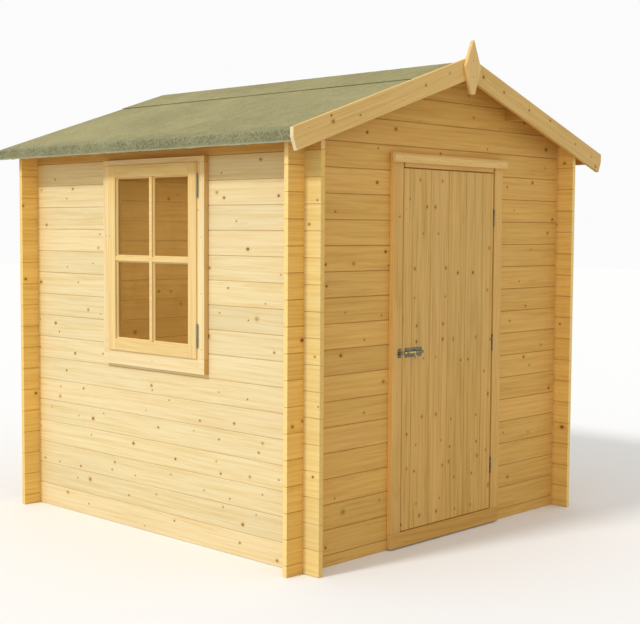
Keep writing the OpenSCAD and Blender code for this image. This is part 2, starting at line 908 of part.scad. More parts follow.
module bolt_guide() {
  color("#b9a98a") {
    bolt_plate(bolt_plate_left, bolt_plate_right);
    bolt_loop(first_guide, first_guide + guide_width, bolt_radius + running_fit);
    bolt_loop(second_guide, bolt_plate_right - guide_setback, bolt_radius + running_fit);
  }
}

module bolt_rod() {
  stem = loop_reach + knob_stem_radius;
  color("#c9a850") {
    translate([rod_start, bolt_y, bolt_height]) rotate([0, 90, 0])
      cylinder(h = rod_end - rod_start, r = bolt_radius, $fn = 48);
    translate([knob_x, bolt_y, bolt_height]) rotate([90 + knob_turn, 0, 0]) {
      cylinder(h = stem, r = knob_stem_radius, $fn = 32);
      translate([0, 0, stem - over]) cylinder(h = knob_length, r = knob_radius, $fn = 32);
    }
  }
}

module bolt_keep() {
  right = -frame_inside - keep_setback;
  left = right - keep_width;
  color("#b9a98a") {
    bolt_plate(left, right);
    bolt_loop(left + guide_setback, right - guide_setback, bolt_radius + keep_fit);
  }
}

// Bearers run from side wall to side wall; the middle one is at y = 0
module floor_bearers() {
  reach = half_width - log_thickness - fit;
  last = half_depth - log_thickness - fit - bearer_size / 2;
  color("#b48a52") for (i = [0 : bearer_count - 1]) {
    y = -last + i * 2 * last / (bearer_count - 1);
    block([-reach, y - bearer_size / 2, 0], [reach, y + bearer_size / 2, bearer_size]);
  }
}

module floor_boards() {
  reach = half_width - log_thickness - fit;
  ends = half_depth - log_thickness - frame_inner - fit;
  count = round(2 * reach / floor_board_cover);
  pitch = 2 * reach / count;
  color("#c79c5d") for (i = [0 : count - 1])
    block([-reach + i * pitch, -ends, bearer_size + fit],
          [-reach + (i + 1) * pitch - fit, ends, bearer_size + fit + floor_thickness]);
}

left_wall_lower_logs();
left_wall_front_logs();
left_wall_back_logs();
left_wall_top_log();
right_wall_logs();
back_wall_logs();
back_gable_logs();
front_starter_log();
front_wall_left_logs();
front_wall_right_logs();
door_infill_log();
front_gable_logs();
ridge_purlin();
side_purlins();
roof_boards_left();
roof_boards_right();
eaves_battens();
felt_left();
felt_right();
felt_ridge_strip();
barge_left();
barge_right();
finial();
window_frame_stiles();
window_frame_sill();
window_frame_head();
sash_stiles();
sash_rails();
window_bars();
window_glass();
window_hinges();
door_jamb_left();
door_jamb_right();
door_head();
door_sill();
door_drip_rail();
door_boards();
door_ledges();
frame_hinges();
leaf_hinges();
bolt_guide();
bolt_rod();
bolt_keep();
floor_bearers();
floor_boards();
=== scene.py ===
import math

import bmesh
import bpy
from mathutils import Matrix, Vector, noise


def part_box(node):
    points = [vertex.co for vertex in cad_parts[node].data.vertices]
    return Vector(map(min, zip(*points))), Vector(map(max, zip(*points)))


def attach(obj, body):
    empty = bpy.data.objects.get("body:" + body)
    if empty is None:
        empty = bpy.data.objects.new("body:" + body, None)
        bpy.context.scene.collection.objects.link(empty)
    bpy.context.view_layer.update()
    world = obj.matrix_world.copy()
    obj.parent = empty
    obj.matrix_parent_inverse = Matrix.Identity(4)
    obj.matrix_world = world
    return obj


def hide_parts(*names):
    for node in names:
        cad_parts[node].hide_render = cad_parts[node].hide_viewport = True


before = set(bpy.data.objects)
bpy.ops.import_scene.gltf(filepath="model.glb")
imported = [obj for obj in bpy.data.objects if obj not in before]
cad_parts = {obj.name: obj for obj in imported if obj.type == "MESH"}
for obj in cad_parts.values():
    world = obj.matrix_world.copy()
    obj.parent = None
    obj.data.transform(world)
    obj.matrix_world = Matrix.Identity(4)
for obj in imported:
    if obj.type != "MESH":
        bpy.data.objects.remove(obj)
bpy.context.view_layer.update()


# ---- Camera, floor and light ----
# The cabin stands on a plain pale studio floor and is seen across its near
# corner, from the height of a standing person's eyes.

def sums(operation):
    """A method that puts its values, in their order, into a Math node."""
    return lambda *values: values[0].maths(operation, *values)


class Value:
    """A number that varies over a surface: Python's sums on it add Math nodes."""

    def __init__(self, sheet, socket):
        self.sheet, self.socket = sheet, socket

    def out(self, name):
        return Value(self.sheet, self.socket.node.outputs[name])

    def maths(self, operation, *values):
        return self.sheet.node("Math", {"operation": operation}, dict(enumerate(values)))

    def __rsub__(self, other):
        return self.maths("SUBTRACT", other, self)

    def rise(self, low, high):
        """Goes smoothly from 0 at low to 1 at high."""
        return self.sheet.node("MapRange", {"interpolation_type": "SMOOTHSTEP"},
                               {"Value": self, "From Min": low, "From Max": high})

    __add__ = __radd__ = sums("ADD")
    __sub__ = sums("SUBTRACT")
    __mul__ = __rmul__ = sums("MULTIPLY")
    __truediv__ = sums("DIVIDE")
    __pow__ = sums("POWER")
    __lt__ = sums("LESS_THAN")
    __gt__ = sums("GREATER_THAN")
    __abs__ = sums("ABSOLUTE")
    __floor__ = sums("FLOOR")
    root = sums("SQRT")


class Sheet:
    """A node tree that is being drawn."""

    def __init__(self, tree):
        self.tree = tree

    def node(self, kind, settings=None, values=None, output=0):
        node = self.tree.nodes.new(kind if "Node" in kind else "ShaderNode" + kind)
        for name, setting in (settings or {}).items():
            setattr(node, name, setting)
        for name, value in (values or {}).items():
            if isinstance(value, Value):
                self.tree.links.new(value.socket, node.inputs[name])
            else:
                node.inputs[name].default_value = value
        return Value(self, node.outputs[output])

    def mix(self, share, first, second, how="MIX"):
        return self.node("Mix", {"data_type": "RGBA", "blend_type": how},
                         {0: share, 6: first, 7: second}, output=2)

    def point(self, x, y, z):
        return self.node("CombineXYZ", values={0: x, 1: y, 2: z})

    def part(self, value, output):
        """X, Y or Z of a vector, or Red, Green or Blue of a colour."""
        kind = "SeparateXYZ" if output in "XYZ" else "SeparateColor"
        return self.node(kind, values={0: value}, output=output)

    def clouds(self, vector, scale, detail):
        return self.node("TexNoise", values={"Vector": vector, "Scale": scale, "Detail": detail})

    def place(self):
        """The place on the piece, in metres, with the way it faces as its Normal."""
        return self.node("TexCoord", output="Object")

    def seen_by_eye(self):
        """1 for what the eye sees straight, mirrored or through glass, 0 for light."""
        path = self.node("LightPath", output="Is Camera Ray")
        seen = path.maths("MAXIMUM", path, path.out("Is Glossy Ray"))
        return seen.maths("MAXIMUM", seen, path.out("Is Transmission Ray"))


class Finish(Sheet):
    """A material's node tree round its one surface shader."""

    def __init__(self, name, **constants):
        self.material = bpy.data.materials.new(name)
        self.material.use_nodes = True
        super().__init__(self.material.node_tree)
        self.shader = self.tree.nodes["Principled BSDF"]
        for name, value in constants.items():
            self.input(name).default_value = value

    def input(self, name):
        return self.shader.inputs[name.replace("_", " ").title().replace("Ior", "IOR")]

    def feed(self, **values):
        for name, value in values.items():
            self.tree.links.new(value.socket, self.input(name))

    def bump(self, height, depth, strength=1.0):
        self.feed(normal=self.node("Bump", values={"Height": height, "Distance": depth,
                                                   "Strength": strength}))


scene = bpy.context.scene
camera_data = bpy.data.cameras.new("camera")
camera_data.sensor_width = 36
camera_data.lens = 69.54
camera = bpy.data.objects.new("camera", camera_data)
camera.location = (-4.736, -4.708, 1.486)
camera.rotation_euler = [math.radians(angle) for angle in (86.214, -0.344, -46.222)]
scene.collection.objects.link(camera)
scene.camera = camera
scene.view_settings.view_transform = "Standard"


def linked(name, mesh, *finishes):
    """A new object with that mesh and those finishes."""
    piece = bpy.data.objects.new(name, mesh)
    scene.collection.objects.link(piece)
    for finish in finishes:
        mesh.materials.append(finish.material)
    return piece


floor_finish = Finish("studio_floor", roughness=0.9)
floor_finish.feed(base_color=floor_finish.mix(
    floor_finish.seen_by_eye(), (0.6, 0.6, 0.59, 1), (0.93, 0.93, 0.92, 1)))
floor_reach = 40
floor_mesh = bpy.data.meshes.new("studio_floor")
floor_mesh.from_pydata([(x * floor_reach, y * floor_reach, 0)
                        for x, y in ((-1, -1), (1, -1), (1, 1), (-1, 1))], [], [(0, 1, 2, 3)])
linked("studio_floor", floor_mesh, floor_finish)

sky = bpy.data.worlds.new("studio")
sky.use_nodes = True
scene.world = sky
sky_sheet = Sheet(sky.node_tree)
sky_level, backdrop_level = 0.74, 0.97
seen = sky_sheet.seen_by_eye()
sky.node_tree.links.new((sky_level + (backdrop_level - sky_level) * seen).socket,
                        sky.node_tree.nodes["Background"].inputs["Strength"])
sky.node_tree.nodes["Background"].inputs["Color"].default_value = (1, 1, 1, 1)

key_data = bpy.data.lights.new("key", "SUN")
key_data.energy = 1.5
key_data.angle = math.radians(9)
key = bpy.data.objects.new("key", key_data)
key_rise, key_turn = math.radians(42), math.radians(9)
to_key = Vector((-math.cos(key_rise) * math.cos(key_turn),
                 math.cos(key_rise) * math.sin(key_turn), math.sin(key_rise)))
key.rotation_euler = to_key.to_track_quat("Z", "Y").to_euler()
scene.collection.objects.link(key)

room_data = bpy.data.lights.new("room", "AREA")
room_data.shape = "DISK"
room_data.size = 1.3
room_data.energy = 12
room = bpy.data.objects.new("room", room_data)
room.location = (0, 0, 1.84)
room.visible_camera = False
scene.collection.objects.link(room)


# ---- Side wall logs ----
# The side walls are planed spruce logs laid on edge, each notched over the
# front and back logs at the corners and running a hand's breadth past them.

def softwood(name, axes, pale, ripe, width, start=0.0, face=0.0, turn=0.0, joint=0.0, groove=0.0,
             knots=0.45, knot_size=(0.0028, 0.0085), stretches=(0.23, 0.61), matched=False,
             contrast=1.0, cut=(0.95, 0.68, 0.28), seed=0.0):
    """Planed spruce. axes names the way along the grain, the way across it and the
    way into the wood; boards are width wide from start on, and face is the depth
    of their outer face. joint darkens the line between boards, groove sinks it, and
    cut is the colour of a sawn end. stretches are the lengths of board that hold one
    knot at most, and contrast is how strongly the streaks show. Matched boards carry
    their knots in mirrored pairs."""
    wood = Finish(name, specular_ior_level=0.22)
    place = wood.place()
    facing = place.out("Normal")
    if turn:
        place = wood.node("Mapping", values={"Vector": place, "Rotation": (0, turn, 0)})
        facing = wood.node("Mapping", {"vector_type": "VECTOR"},
                           {"Vector": facing, "Rotation": (0, turn, 0)})
    letters = [letter.upper() for letter in axes]
    split = wood.part(place, letters[0])
    along, across, depth = split, split.out(letters[1]), split.out(letters[2])
    end = abs(wood.part(facing, letters[0])).rise(0.6, 0.9)

    lane = (across - start) / width
    board = math.floor(lane)
    inside = lane - board
    middle = (inside - 0.5) * width
    number = board + 31 * (depth > 0) + seed
    tint = wood.node("TexWhiteNoise", {"noise_dimensions": "1D"}, {"W": number}, output="Color")
    luck = wood.part(tint, "Red")
    drift = wood.node("TexNoise", {"noise_dimensions": "1D"},
                      {"W": along * 0.7 + number * 5.7, "Scale": 1.0, "Detail": 1.5}, output="Color")
    wander = wood.part(drift, "Red")

    # Knots: at most one in each stretch of a board, with the grain bent round it
    side_of, home = middle, number
    if matched:
        pair = math.floor(lane / 2)
        side_of, home = (abs(lane - pair * 2 - 1) - 0.5) * width, pair + seed
    swirl, core, bark, halo = 0.0, 0.0, 0.0, 0.0
    for layer, (stretch, share, small, large) in enumerate((
            (stretches[0], knots, knot_size[0], knot_size[1] * 0.7),
            (stretches[1], knots * 0.8, knot_size[0] * 1.6, knot_size[1]))):
        run = along / stretch + home * 0.37
        cell = math.floor(run)
        chance = wood.node("TexWhiteNoise", {"noise_dimensions": "2D"},
                           {"Vector": wood.point(cell, home + 7.0 * layer, 0)}, output="Value")
        pick = wood.part(chance.out("Color"), "Red")
        from_knot = (run - cell - 0.25 - 0.5 * pick) * stretch
        off = side_of - (pick.out("Green") - 0.5) * width * 0.72
        size = small + (large - small) * pick.out("Blue") * pick.out("Blue")
        reach = ((from_knot / 1.25) ** 2.0 + off * off).root() / size
        there = chance < share
        dead = there * (0.35 + 0.65 * chance / share)
        core = core + dead * reach.rise(1.15, 0.85)
        bark = bark + dead * reach.rise(1.3, 1.0) * reach.rise(0.35, 0.95)
        halo = halo + there * reach.rise(3.2, 1.0)
        swirl = swirl + there * size * 1.5 * reach.rise(5.5, 0.4) * off / (abs(off) + size * 0.5)

    # Growth rings about the tree's heart, which wanders along the log
    heart_across = (luck - 0.5) * width * 1.3 + (wander - 0.5) * 0.05
    heart_depth = 0.012 + luck.out("Green") * 0.03 + (wander.out("Green") - 0.5) * 0.04
    ring_across = middle - heart_across + swirl
    ring_depth = heart_depth + face - abs(depth)
    radius = (ring_across * ring_across + ring_depth * ring_depth).root()
    fine = wood.clouds(wood.point(along * 9.0, across * 330.0, depth * 330.0), 1.0, 2.0)
    ring = radius / 0.0048 + fine * 0.5 + number * 0.21
    late = (ring - math.floor(ring)) ** 2.6
    band = wood.node("TexNoise", {"noise_dimensions": "1D"},
                     {"W": radius * 75.0 + number * 3.1, "Scale": 1.0, "Detail": 3.0})
    streak = wood.clouds(wood.point(along * 2.0, across * 58.0 + number, depth * 58.0), 1.0, 4.0)
    thread = wood.clouds(wood.point(along * 5.0, across * 170.0, depth * 170.0 + number), 1.0, 2.0)

    grain = late * 0.3 + (band - 0.4) * 0.7 + ((streak - 0.5) * 1.4 + (thread - 0.5)) * contrast
    colour = wood.mix(grain.rise(-0.35, 0.97), (*pale, 1), (*ripe, 1))
    rosy = tuple(0.55 * p + 0.45 * r for p, r in zip(pale, (1.0, 0.55, 0.28)))
    colour = wood.mix(luck.out("Blue").rise(0.55, 1.0) * 0.13, colour, (*rosy, 1))
    tone = 1.0 + (luck - 0.5) * 0.07 + (wander.out("Blue") - 0.5) * 0.11
    colour = wood.mix(1.0, colour, wood.point(tone, tone, tone), "MULTIPLY")
    amber = tuple(channel * share for channel, share in zip(ripe, (0.92, 0.74, 0.45)))
    colour = wood.mix(halo * 0.5, colour, (*amber, 1))
    heart = wood.mix(thread.rise(0.35, 0.65), (0.17, 0.075, 0.024, 1), (0.26, 0.125, 0.045, 1))
    colour = wood.mix(core * 0.9, colour, heart)
    colour = wood.mix(bark * 0.75, colour, (0.085, 0.035, 0.012, 1))
    worn = tuple(channel * share for channel, share in zip(cut, (0.78, 0.68, 0.52)))
    sawn = wood.mix((late * 0.7 + streak * 0.5).rise(0.1, 0.9), (*cut, 1), (*worn, 1))
    colour = wood.mix(end * 0.92, colour, sawn)
    height = late * 0.00025 + fine * 0.0002 - core * 0.00025
    if joint:
        from_joint = (0.5 - abs(inside - 0.5)) * width
        colour = wood.mix(from_joint.rise(0.0032, 0.0008) * joint, colour,
                          (ripe[0] * 0.36, ripe[1] * 0.27, ripe[2] * 0.16, 1))
        height = height - from_joint.rise(0.002, 0.0004) * groove
    wood.feed(base_color=colour, roughness=0.56 + fine * 0.16)
    wood.bump(height, 1.0, 0.6)
    return wood


def tint(wood, share, red, green, blue):
    """Multiplies a wood's colour where share is 1. Most calls paint light or shade this way, on parts made
    paler, darker or warmer than the rest of their timber."""
    colour = Value(wood, wood.input("base_color").links[0].from_socket)
    tinted = wood.mix(1.0, colour, (red, green, blue, 1), "MULTIPLY")
    wood.feed(base_color=wood.mix(share, colour, tinted))


def spot(wood):
    """Three numbers: the place on the piece along X, Y and Z."""
    x = wood.part(wood.place(), "X")
    return x, x.out("Y"), x.out("Z")


def dress(finish, *nodes):
    """Puts a finish on CAD nodes as they are."""
    for node in nodes:
        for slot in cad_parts[node].material_slots:
            slot.material = finish.material


log_cover = 0.114
side_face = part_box("right_wall_logs")[1].x
# Painted light: the window wall's logs are a paler, less orange copy of the same spruce, as it looks in
# sun.
painted_sunlit_logs = softwood(
    "side_log_wood", "yzx", (0.90, 0.753, 0.44), (0.78, 0.558, 0.22), log_cover, face=side_face,
    joint=0.22, knots=0.62, knot_size=(0.0026, 0.0075), seed=3)
# Shade is painted below the eaves, down to about one course under the wall's top.
wall_courses, eaves_shadow_drop = 16, 0.115
eaves_shadow_z = wall_courses * log_cover - eaves_shadow_drop


def paint_eaves_shade(wood):
    """Painted shade: a soft, warmer and slightly darker tone that comes in below the eaves."""
    tint(wood, spot(wood)[2].rise(eaves_shadow_z - 0.13, eaves_shadow_z + 0.09), 1.0, 0.95, 0.8)


# Painted shade under the eaves on the window wall's logs.
paint_eaves_shade(painted_sunlit_logs)
along_wall = spot(painted_sunlit_logs)[1]
near_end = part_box("front_starter_log")[0].y
far_end = -near_end
# Painted shade: the logs turn warmer and darker towards and past the front wall's face, where their ends
# stand out.
tint(painted_sunlit_logs, along_wall.rise(near_end + 0.026, near_end), 1.0, 0.94, 0.68)
# Painted shade: the logs turn warmer and a little darker towards the back corner, where the back logs' ends
# shade the wall.
tint(painted_sunlit_logs, along_wall.rise(far_end - 0.11, far_end - 0.026), 0.98, 0.92, 0.74)
dress(painted_sunlit_logs, "left_wall_lower_logs", "left_wall_front_logs", "left_wall_back_logs")
# Painted shade: the window wall's top log, deep under the eaves, is a darker, more orange copy of its
# timber.
painted_shade_top_logs = softwood(
    "top_log_wood", "yzx", (0.74, 0.45, 0.10), (0.56, 0.28, 0.045), log_cover, face=side_face,
    joint=0.35, knots=0.5, seed=5)
dress(painted_shade_top_logs, "left_wall_top_log")
# Painted shade: the right and back walls' logs are a warmer, more orange copy of the same spruce, as it
# looks in shade.
painted_shade_pale, painted_shade_ripe = (0.92, 0.60, 0.19), (0.72, 0.41, 0.10)
painted_shade_logs = softwood(
    "shady_log_wood", "yzx", painted_shade_pale, painted_shade_ripe, log_cover, face=side_face, joint=0.35, knots=0.5,
    seed=7)
# Painted light: the log ends that stand past the front wall are brightened.
tint(painted_shade_logs, spot(painted_shade_logs)[1].rise(near_end, near_end - 0.02), 1.13, 1.17, 1.06)
dress(painted_shade_logs, "right_wall_logs")


# ---- Front, back and gable logs ----
# The end walls start on a half log so that their joints fall half way up the
# side logs. The gables are the same logs cut to the roof's slope.

starter_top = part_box("front_wall_left_logs")[0].z
end_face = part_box("back_wall_logs")[1].y
# Painted shade: the front's logs are a warmer, more orange copy of the window wall's spruce, as it looks in
# shade.
front_logs = softwood(
    "front_log_wood", "xzy", (0.815, 0.485, 0.125), (0.62, 0.325, 0.065), log_cover, start=starter_top,
    face=end_face, joint=0.36, knots=0.45, seed=11)
corner_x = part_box("right_wall_logs")[0].x + 0.006  # past this the log ends carry painted light: they are brightened
gable_shade_from, gable_shade_full = 1.86, 1.96
# Painted light: the front logs' ends past the side walls are brightened.
tint(front_logs, abs(spot(front_logs)[0]).rise(corner_x, corner_x + 0.02), 1.18, 1.24, 1.22)
# Painted shade: the gable is darker and warmer high up under the roof's overhang.
tint(front_logs, spot(front_logs)[2].rise(gable_shade_from, gable_shade_full), 0.96, 0.94, 0.83)
dress(front_logs, "front_starter_log", "front_wall_left_logs", "front_wall_right_logs",
      "door_infill_log", "front_gable_logs")
# Painted shade: the back's logs take the right wall's warmer copy of the spruce.
back_logs = softwood(
    "back_log_wood", "xzy", painted_shade_pale, painted_shade_ripe, log_cover, start=starter_top, face=end_face,
    joint=0.25, knots=0.4, seed=13)
# Painted light: the back logs' ends past the side walls are brightened.
tint(back_logs, abs(spot(back_logs)[0]).rise(corner_x, corner_x + 0.02), 1.08, 1.1, 0.97)
dress(back_logs, "back_wall_logs", "back_gable_logs")


# ---- Purlins, roof boards and eaves battens ----
# Three sawn purlins run from verge to verge and carry the roof boards. A batten
# under the boards' ends stiffens the eaves and takes the felt's lower nails.

purlin_pale, purlin_ripe = (0.69, 0.40, 0.078), (0.51, 0.255, 0.032)
dress(softwood("purlin_wood", "yxz", purlin_pale, purlin_ripe, 0.3, start=-0.15, seed=23),
      "ridge_purlin", "side_purlins", "eaves_battens")

boards_low, boards_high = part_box("roof_boards_right")
roof_board_count = 23
roof_board_cover = (boards_high.y - boards_low.y) / roof_board_count
roof_wood = softwood(
    "roof_board_wood", "xyz", purlin_pale, purlin_ripe, roof_board_cover, start=boards_low.y,
    joint=0.8, groove=0.0015, seed=29)
dress(roof_wood, "roof_boards_left", "roof_boards_right")


# ---- Roofing felt ----
# Green mineral felt is laid over each slope and folded down at the eaves and
# the back verge. A third strip is folded over the ridge and laps both slopes.

felt_thickness, felt_fold = 0.0022, 0.053
felt_low, felt_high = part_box("felt_right")
strip_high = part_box("felt_ridge_strip")[1]
nail_room = 0.0026
eave_x, verge_front, verge_back = felt_high.x, felt_low.y, felt_high.y - nail_room
verge_run = verge_back - verge_front
eave_top = felt_low.z + felt_fold
roof_slope = (felt_high.z - eave_top) / eave_x
roof_pitch = math.atan(roof_slope)

felt = Finish("mineral_felt", specular_ior_level=0.25)
felt_place = felt.place()
grit = felt.clouds(felt_place, 420.0, 2.0)
fleck = felt.node("TexNoise", values={"Vector": felt_place, "Scale": 95.0, "Detail": 3.0,
                                      "Roughness": 0.6})
blotch = felt.clouds(felt_place, 14.0, 4.0)
patch = felt.clouds(felt_place, 2.3, 2.0)
felt_up = abs(felt.part(felt_place.out("Normal"), "Z"))
felt_height = felt.part(felt_place, "Z")
near_eaves = (felt_height + (blotch - 0.5) * 0.02).rise(eave_top + 0.034, eave_top - 0.004)
folded = felt_up.maths("MAXIMUM", felt_up.rise(0.9, 0.45), near_eaves * 0.7)
felt_tone = blotch * 0.35 + fleck * 0.8 + grit * 0.45 + patch * 0.4
felt_colour = felt.mix(felt_tone.rise(0.72, 1.28), (0.245, 0.225, 0.098, 1), (0.42, 0.37, 0.17, 1))
fold_colour = felt.mix(felt_tone.rise(0.78, 1.24), (0.125, 0.13, 0.062, 1), (0.34, 0.33, 0.18, 1))
felt_colour = felt.mix(folded * 0.85, felt_colour, fold_colour)
felt_colour = felt.mix(grit.rise(0.60, 0.72) * 0.35, felt_colour, (0.62, 0.58, 0.38, 1))
felt_colour = felt.mix(grit.rise(0.40, 0.30) * 0.5, felt_colour, (0.09, 0.09, 0.05, 1))
# Painted shade: the felt is a little darker and browner towards the ridge.
painted_shade_near_ridge = felt_height.rise(2.08, 2.27)
felt_colour = felt.mix(painted_shade_near_ridge * 0.09, felt_colour, (0.1, 0.08, 0.01, 1))
frayed = (felt_height + (fleck - 0.5) * 0.02).rise(felt_low.z + 0.009, felt_low.z + 0.002)
felt_colour = felt.mix(frayed * folded * 0.45, felt_colour, (0.56, 0.52, 0.36, 1))
felt.feed(base_color=felt_colour, roughness=0.82 + grit * 0.12)
felt.bump(grit + fleck * 0.8 + blotch * 0.4, 0.0012, 0.7)


def fold_stand(y, share, side):
    """How far the fold at the eaves stands off, at a share of the way down it."""
    return 0.0022 * share * (1 + noise.noise(Vector((y * 5, side, 2.2))))


def felt_ripple(x, y, rise):
    """How far the felt lies off a dead flat sheet."""
    boards = math.sin(2 * math.pi * (y - verge_front) / roof_board_cover)
    return rise * (0.55 * noise.noise(Vector((x * 3, y * 3.4, 1.7))) + 0.25 * boards
                   + 0.5 * noise.noise(Vector((x * 9, y * 11, 4.1))))


def felt_slope(name, node, side):
    """One slope's felt: columns run from front to back, rows from the ridge down."""
    bend = 0.009
    columns, slope_rows, bend_rows, fold_rows, drops = 180, 60, 6, 6, 7
    rows = [(eave_x - bend) * (i / slope_rows) for i in range(slope_rows + 1)]
    outer = [(x, felt_high.z - x * roof_slope, "slope") for x in rows]
    centre_x, centre_z = eave_x - bend, eave_top - bend * (1 - math.tan(roof_pitch / 2) * 0.6)
    for i in range(1, bend_rows + 1):
        angle = math.pi / 2 - roof_pitch - (math.pi / 2 - roof_pitch) * i / bend_rows
        outer.append((centre_x + bend * math.cos(angle), centre_z + bend * math.sin(angle), "fold"))
    for i in range(1, fold_rows + 1):
        outer.append((eave_x, centre_z - (centre_z - felt_low.z) * i / fold_rows, "fold"))
    ys = [verge_front + verge_run * j / columns for j in range(columns + 1)]
    grid = {}
    for i, (x, z, part) in enumerate(outer):
        for j, y in enumerate(ys):
            out, down = 0.0, 0.0
            if part == "slope":
                down = felt_ripple(x, y, 0.0011) - 0.0006
            else:
                out = fold_stand(y, (eave_top - z) / felt_fold, side)
                if i == len(outer) - 1:
                    down = 0.003 * noise.noise(Vector((y * 23, side, 8.8)))
            grid[i, j] = side * (x + out), y, z + down
        if part == "slope":
            for k in range(1, drops + 1):
                fall = felt_fold * k / drops
                rough = 0.003 * noise.noise(Vector((x * 23, side, 5.5))) if k == drops else 0
                grid[i, columns + k] = side * x, verge_back + 0.0012 * k / drops, z - fall + rough
    lay(name, node, grid, felt_thickness)


def lay(name, node, grid, thickness):
    """Lays felt over a grid of points, with its thickness inwards, in place of a node."""
    work = bmesh.new()
    verts = {key: work.verts.new(point) for key, point in grid.items()}
    for i, j in grid:
        corners = [verts.get(key) for key in ((i, j), (i + 1, j), (i + 1, j + 1), (i, j + 1))]
        if None not in corners:
            work.faces.new(corners)
    bmesh.ops.recalc_face_normals(work, faces=work.faces)
    if sum(face.normal.z * face.calc_area() for face in work.faces) < 0:
        bmesh.ops.reverse_faces(work, faces=work.faces)
    piece = linked(name, drawn(name, work), felt)
    solid = piece.modifiers.new("thickness", "SOLIDIFY")
    solid.thickness = thickness
    solid.offset = -1
    settle(piece)
    piece.data.shade_smooth()
    piece.data.set_sharp_from_angle(angle=math.radians(50))
    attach(piece, "cabin")
    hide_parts(node)


def drawn(name, work):
    """The mesh of what was drawn."""
    mesh = bpy.data.meshes.new(name)
    work.to_mesh(mesh)
    work.free()
    return mesh


def settle(piece):
    """Replaces a piece's mesh by what its modifiers make of it."""
    ready = piece.evaluated_get(bpy.context.evaluated_depsgraph_get())
    mesh = bpy.data.meshes.new_from_object(ready)
    piece.modifiers.clear()
    piece.data = mesh


felt_slope("roof_felt_left", "felt_left", -1)
felt_slope("roof_felt_right", "felt_right", 1)

strip_reach = strip_high.x
strip_rows, strip_columns = 36, 130
strip_thickness = 0.0016
strip_grid = {}
for i in range(strip_rows + 1):
    x = -strip_reach + 2 * strip_reach * i / strip_rows
    crown = 0.004 * math.exp(-(x / 0.012) ** 2)
    for j in range(strip_columns + 1):
        y = verge_front + verge_run * j / strip_columns
        lap = 0.0004 * (1 + noise.noise(Vector((y * 4, x, 3.3)))) * (abs(x) / strip_reach) ** 8
        edge = 0.002 * noise.noise(Vector((y * 2, i, 6.1))) if i in (0, strip_rows) else 0
        strip_grid[i, j] = x + edge, y, (strip_high.z - abs(x) * roof_slope - crown
                                         + min(0.0, felt_ripple(x, y, 0.0008)) + lap)
lay("ridge_felt", "felt_ridge_strip", strip_grid, strip_thickness)


# ---- Felt nails ----
# Broad galvanised clout nails hold the felt, a hand's breadth apart along both
# eaves, along the back verge and down both laps of the ridge strip.

def loft(work, rings, place=Matrix()):
    """Adds a closed skin over rings of points; a ring of one point closes an end."""
    rows = [[work.verts.new(place @ Vector(point)) for point in ring] for ring in rings]
    count = max(len(row) for row in rows)
    for low, high in zip(rows, rows[1:]):
        for k in range(count):
            corners = (low[k % len(low)], low[(k + 1) % len(low)],
                       high[(k + 1) % len(high)], high[k % len(high)])
            work.faces.new(list(dict.fromkeys(corners)))


def turned(work, profile, sides, place=Matrix()):
    """Adds a turned piece from pairs of radius and height along its own Z."""
    loft(work, [[(radius * math.cos(2 * math.pi * k / sides), radius * math.sin(2 * math.pi * k / sides),
                  height) for k in range(sides if radius else 1)] for radius, height in profile], place)


def closed(name, work, smooth=None):
    """The mesh of what was drawn, with its seams closed and its faces outwards. Edges
    that turn by less than smooth, in degrees, are shaded round."""
    bmesh.ops.remove_doubles(work, verts=work.verts, dist=1e-6)
    bmesh.ops.recalc_face_normals(work, faces=work.faces)
    mesh = drawn(name, work)
    if smooth:
        mesh.shade_smooth()
        mesh.set_sharp_from_angle(angle=math.radians(smooth))
    return mesh


class Pattern(Sheet):
    """A Geometry Nodes tree with named inputs."""

    def __init__(self, name, **inputs):
        tree = bpy.data.node_groups.new(name, "GeometryNodeTree")
        super().__init__(tree)
        for label, kind in inputs.items():
            tree.interface.new_socket(label, in_out="INPUT", socket_type="NodeSocket" + kind)
        tree.interface.new_socket("result", in_out="OUTPUT", socket_type="NodeSocketGeometry")
        self.given = tree.nodes.new("NodeGroupInput")

    def asked(self, label):
        return Value(self, self.given.outputs[label])

    def end(self, made):
        made = self.node("GeometryNodeRealizeInstances", values={"Geometry": made})
        made = self.node("GeometryNodeSetMaterial", values={
            "Geometry": made, "Material": self.asked("finish")})
        last = self.tree.nodes.new("NodeGroupOutput")
        self.tree.links.new(made.socket, last.inputs["result"])

    def make(self, piece, **values):
        """Leaves what the tree makes of a piece as its plain mesh."""
        step = piece.modifiers.new(self.tree.name, "NODES")
        step.node_group = self.tree
        for item in self.tree.interface.items_tree:
            if item.in_out == "INPUT" and item.name in values:
                step[item.identifier] = values[item.name]
        settle(piece)


fixings = Pattern("fixings", places="Geometry", head="Object", finish="Material", least="Float", seed="Int")
fixing_way = fixings.node("FunctionNodeAlignRotationToVector", {"axis": "Z"}, {
    "Vector": fixings.node("GeometryNodeInputNamedAttribute", {"data_type": "FLOAT_VECTOR"},
                           {"Name": "facing"})})
fixing_turn = fixings.node("FunctionNodeAxisAngleToRotation", values={
    "Axis": (0, 0, 1), "Angle": fixings.node("FunctionNodeRandomValue", {"data_type": "FLOAT"}, {
        2: 0.0, 3: 2 * math.pi, "Seed": fixings.asked("seed")}, output=1)})
fixings.end(fixings.node("GeometryNodeInstanceOnPoints", values={
    "Points": fixings.asked("places"),
    "Instance": fixings.node("GeometryNodeObjectInfo", values={"Object": fixings.asked("head")},
                             output="Geometry"),
    "Rotation": fixings.node("FunctionNodeRotateRotation", {"rotation_space": "LOCAL"},
                             {"Rotation": fixing_way, "Rotate By": fixing_turn}),
    "Scale": fixings.node("FunctionNodeRandomValue", {"data_type": "FLOAT"}, {
        2: fixings.asked("least"), 3: 1.0, "Seed": fixings.asked("seed") + 1}, output=1)}))


